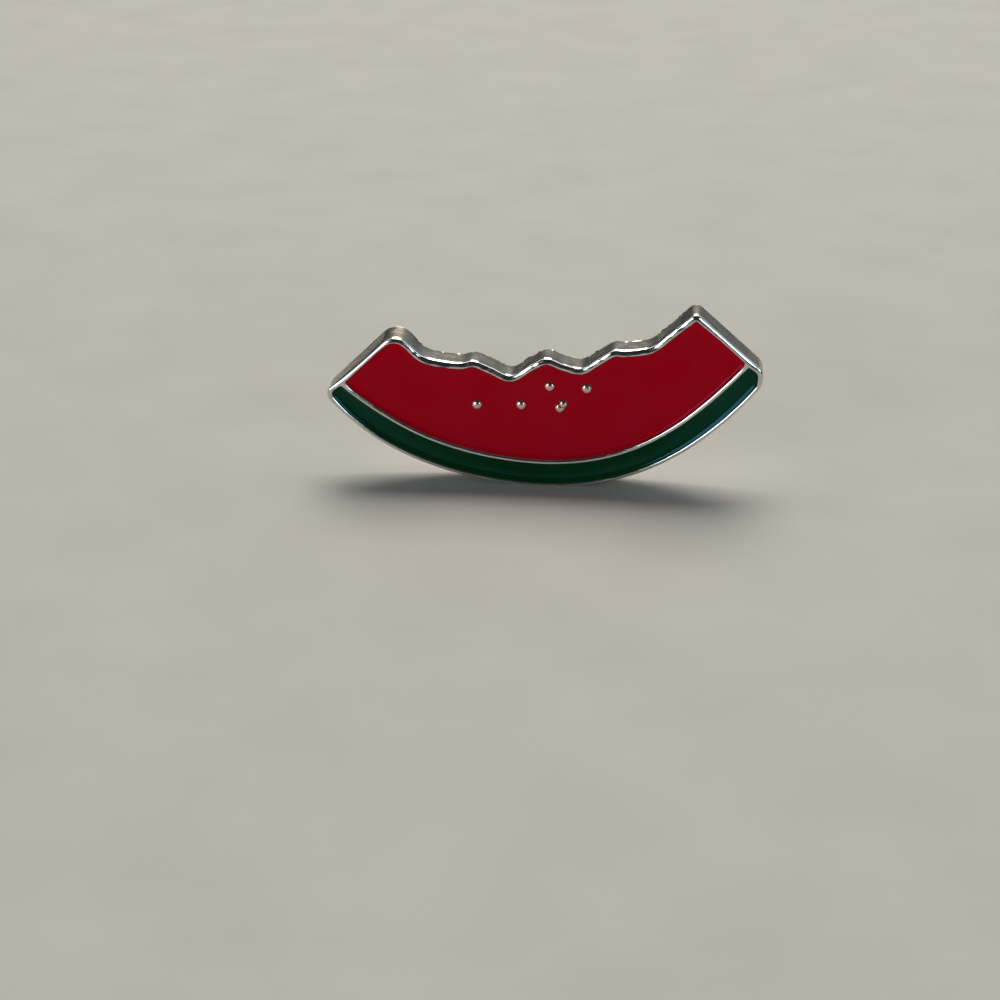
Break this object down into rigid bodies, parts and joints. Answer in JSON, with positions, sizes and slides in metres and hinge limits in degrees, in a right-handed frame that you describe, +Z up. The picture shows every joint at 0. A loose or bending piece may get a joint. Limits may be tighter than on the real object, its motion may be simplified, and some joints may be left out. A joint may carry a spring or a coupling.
{
  "type": "watermelon rind lapel pin",
  "caption": "Soft-enamel metal lapel pin shaped like an eaten slice of watermelon, standing on its rind edge, with a post and a butterfly clutch behind.",
  "frame": {"origin": "middle of the underside of the bounding box, on the surface the pin stands on", "axes": "+X across the pin, to the right as its face is seen; -Y out of the enamelled face; +Z up. The slice stands turned about 4.4 degrees, with its right end the higher one."},
  "size_m": [0.0296, 0.0094, 0.0128],
  "materials": {
    "plated_metal": "nickel plate, polished on the rim and satin on the edge and back",
    "red_enamel": "glossy soft enamel",
    "green_enamel": "glossy soft enamel",
    "post_metal": "nickel plate",
    "clutch_metal": "nickel plate"
  },
  "bodies": {
    "root": {"plate": "plated_metal", "enamel_red": "red_enamel", "enamel_green": "green_enamel", "post": "post_metal", "clutch_base": "clutch_metal", "clutch_spring": "clutch_metal"}
  },
  "joints": []
}
